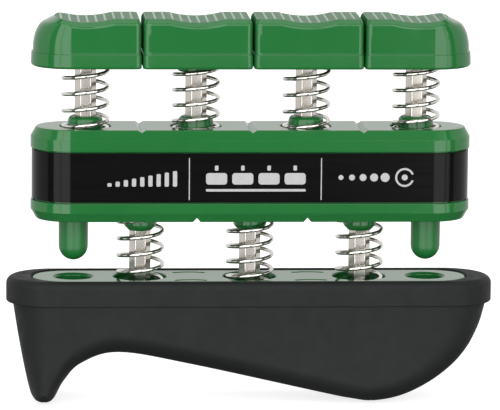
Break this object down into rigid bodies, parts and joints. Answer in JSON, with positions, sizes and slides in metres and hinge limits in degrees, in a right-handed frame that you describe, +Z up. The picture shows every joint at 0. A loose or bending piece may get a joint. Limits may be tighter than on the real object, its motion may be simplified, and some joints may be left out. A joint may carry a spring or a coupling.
{
  "type": "finger exerciser",
  "caption": "Hand-held finger exerciser: separately sprung finger keys on a sprung housing, above a contoured rubber palm grip.",
  "frame": {"origin": "on the surface the palm grip stands on, below the middle of the object's box", "axes": "+X along the row of finger keys towards the blunt end of the grip, -Y towards the front, +Z up"},
  "size_m": [0.0974, 0.0184, 0.0774],
  "materials": {
    "green_plastic": "glossy moulded green plastic",
    "label_film": "smooth black printed film",
    "nickel_steel": "nickel-plated steel bar",
    "spring_wire": "bright nickel-plated wire",
    "black_rubber": "matte charcoal moulded rubber"
  },
  "bodies": {
    "palm_bar": {"palm_grip": "black_rubber", "palm_plate": "green_plastic", "palm_post_1": "nickel_steel", "palm_post_2": "nickel_steel", "palm_post_3": "nickel_steel", "palm_post_retainer_1": "nickel_steel", "palm_post_retainer_2": "nickel_steel", "palm_post_retainer_3": "nickel_steel", "palm_spring_1": "spring_wire", "palm_spring_2": "spring_wire", "palm_spring_3": "spring_wire"},
    "housing": {"housing_upper_shell": "green_plastic", "housing_lower_shell": "green_plastic", "label_band": "label_film", "finger_spring_1": "spring_wire", "finger_spring_2": "spring_wire", "finger_spring_3": "spring_wire", "finger_spring_4": "spring_wire"},
    "finger_1": {"finger_key_1": "green_plastic", "finger_post_1": "nickel_steel", "finger_post_retainer_1": "nickel_steel"},
    "finger_2": {"finger_key_2": "green_plastic", "finger_post_2": "nickel_steel", "finger_post_retainer_2": "nickel_steel"},
    "finger_3": {"finger_key_3": "green_plastic", "finger_post_3": "nickel_steel", "finger_post_retainer_3": "nickel_steel"},
    "finger_4": {"finger_key_4": "green_plastic", "finger_post_4": "nickel_steel", "finger_post_retainer_4": "nickel_steel"}
  },
  "joints": [
    {"name": "housing_slide", "type": "slide", "parent": "palm_bar", "child": "housing", "axis": [0, 0, -1], "range_m": [0, 0.01], "stiffness_N_per_m": 4000, "deforming": ["palm_spring_1", "palm_spring_2", "palm_spring_3"]},
    {"name": "finger_1_slide", "type": "slide", "parent": "housing", "child": "finger_1", "axis": [0, 0, -1], "range_m": [0, 0.0085], "stiffness_N_per_m": 1150, "deforming": ["finger_spring_1"]},
    {"name": "finger_2_slide", "type": "slide", "parent": "housing", "child": "finger_2", "axis": [0, 0, -1], "range_m": [0, 0.0085], "stiffness_N_per_m": 1150, "deforming": ["finger_spring_2"]},
    {"name": "finger_3_slide", "type": "slide", "parent": "housing", "child": "finger_3", "axis": [0, 0, -1], "range_m": [0, 0.0085], "stiffness_N_per_m": 1150, "deforming": ["finger_spring_3"]},
    {"name": "finger_4_slide", "type": "slide", "parent": "housing", "child": "finger_4", "axis": [0, 0, -1], "range_m": [0, 0.0085], "stiffness_N_per_m": 1150, "deforming": ["finger_spring_4"]}
  ]
}
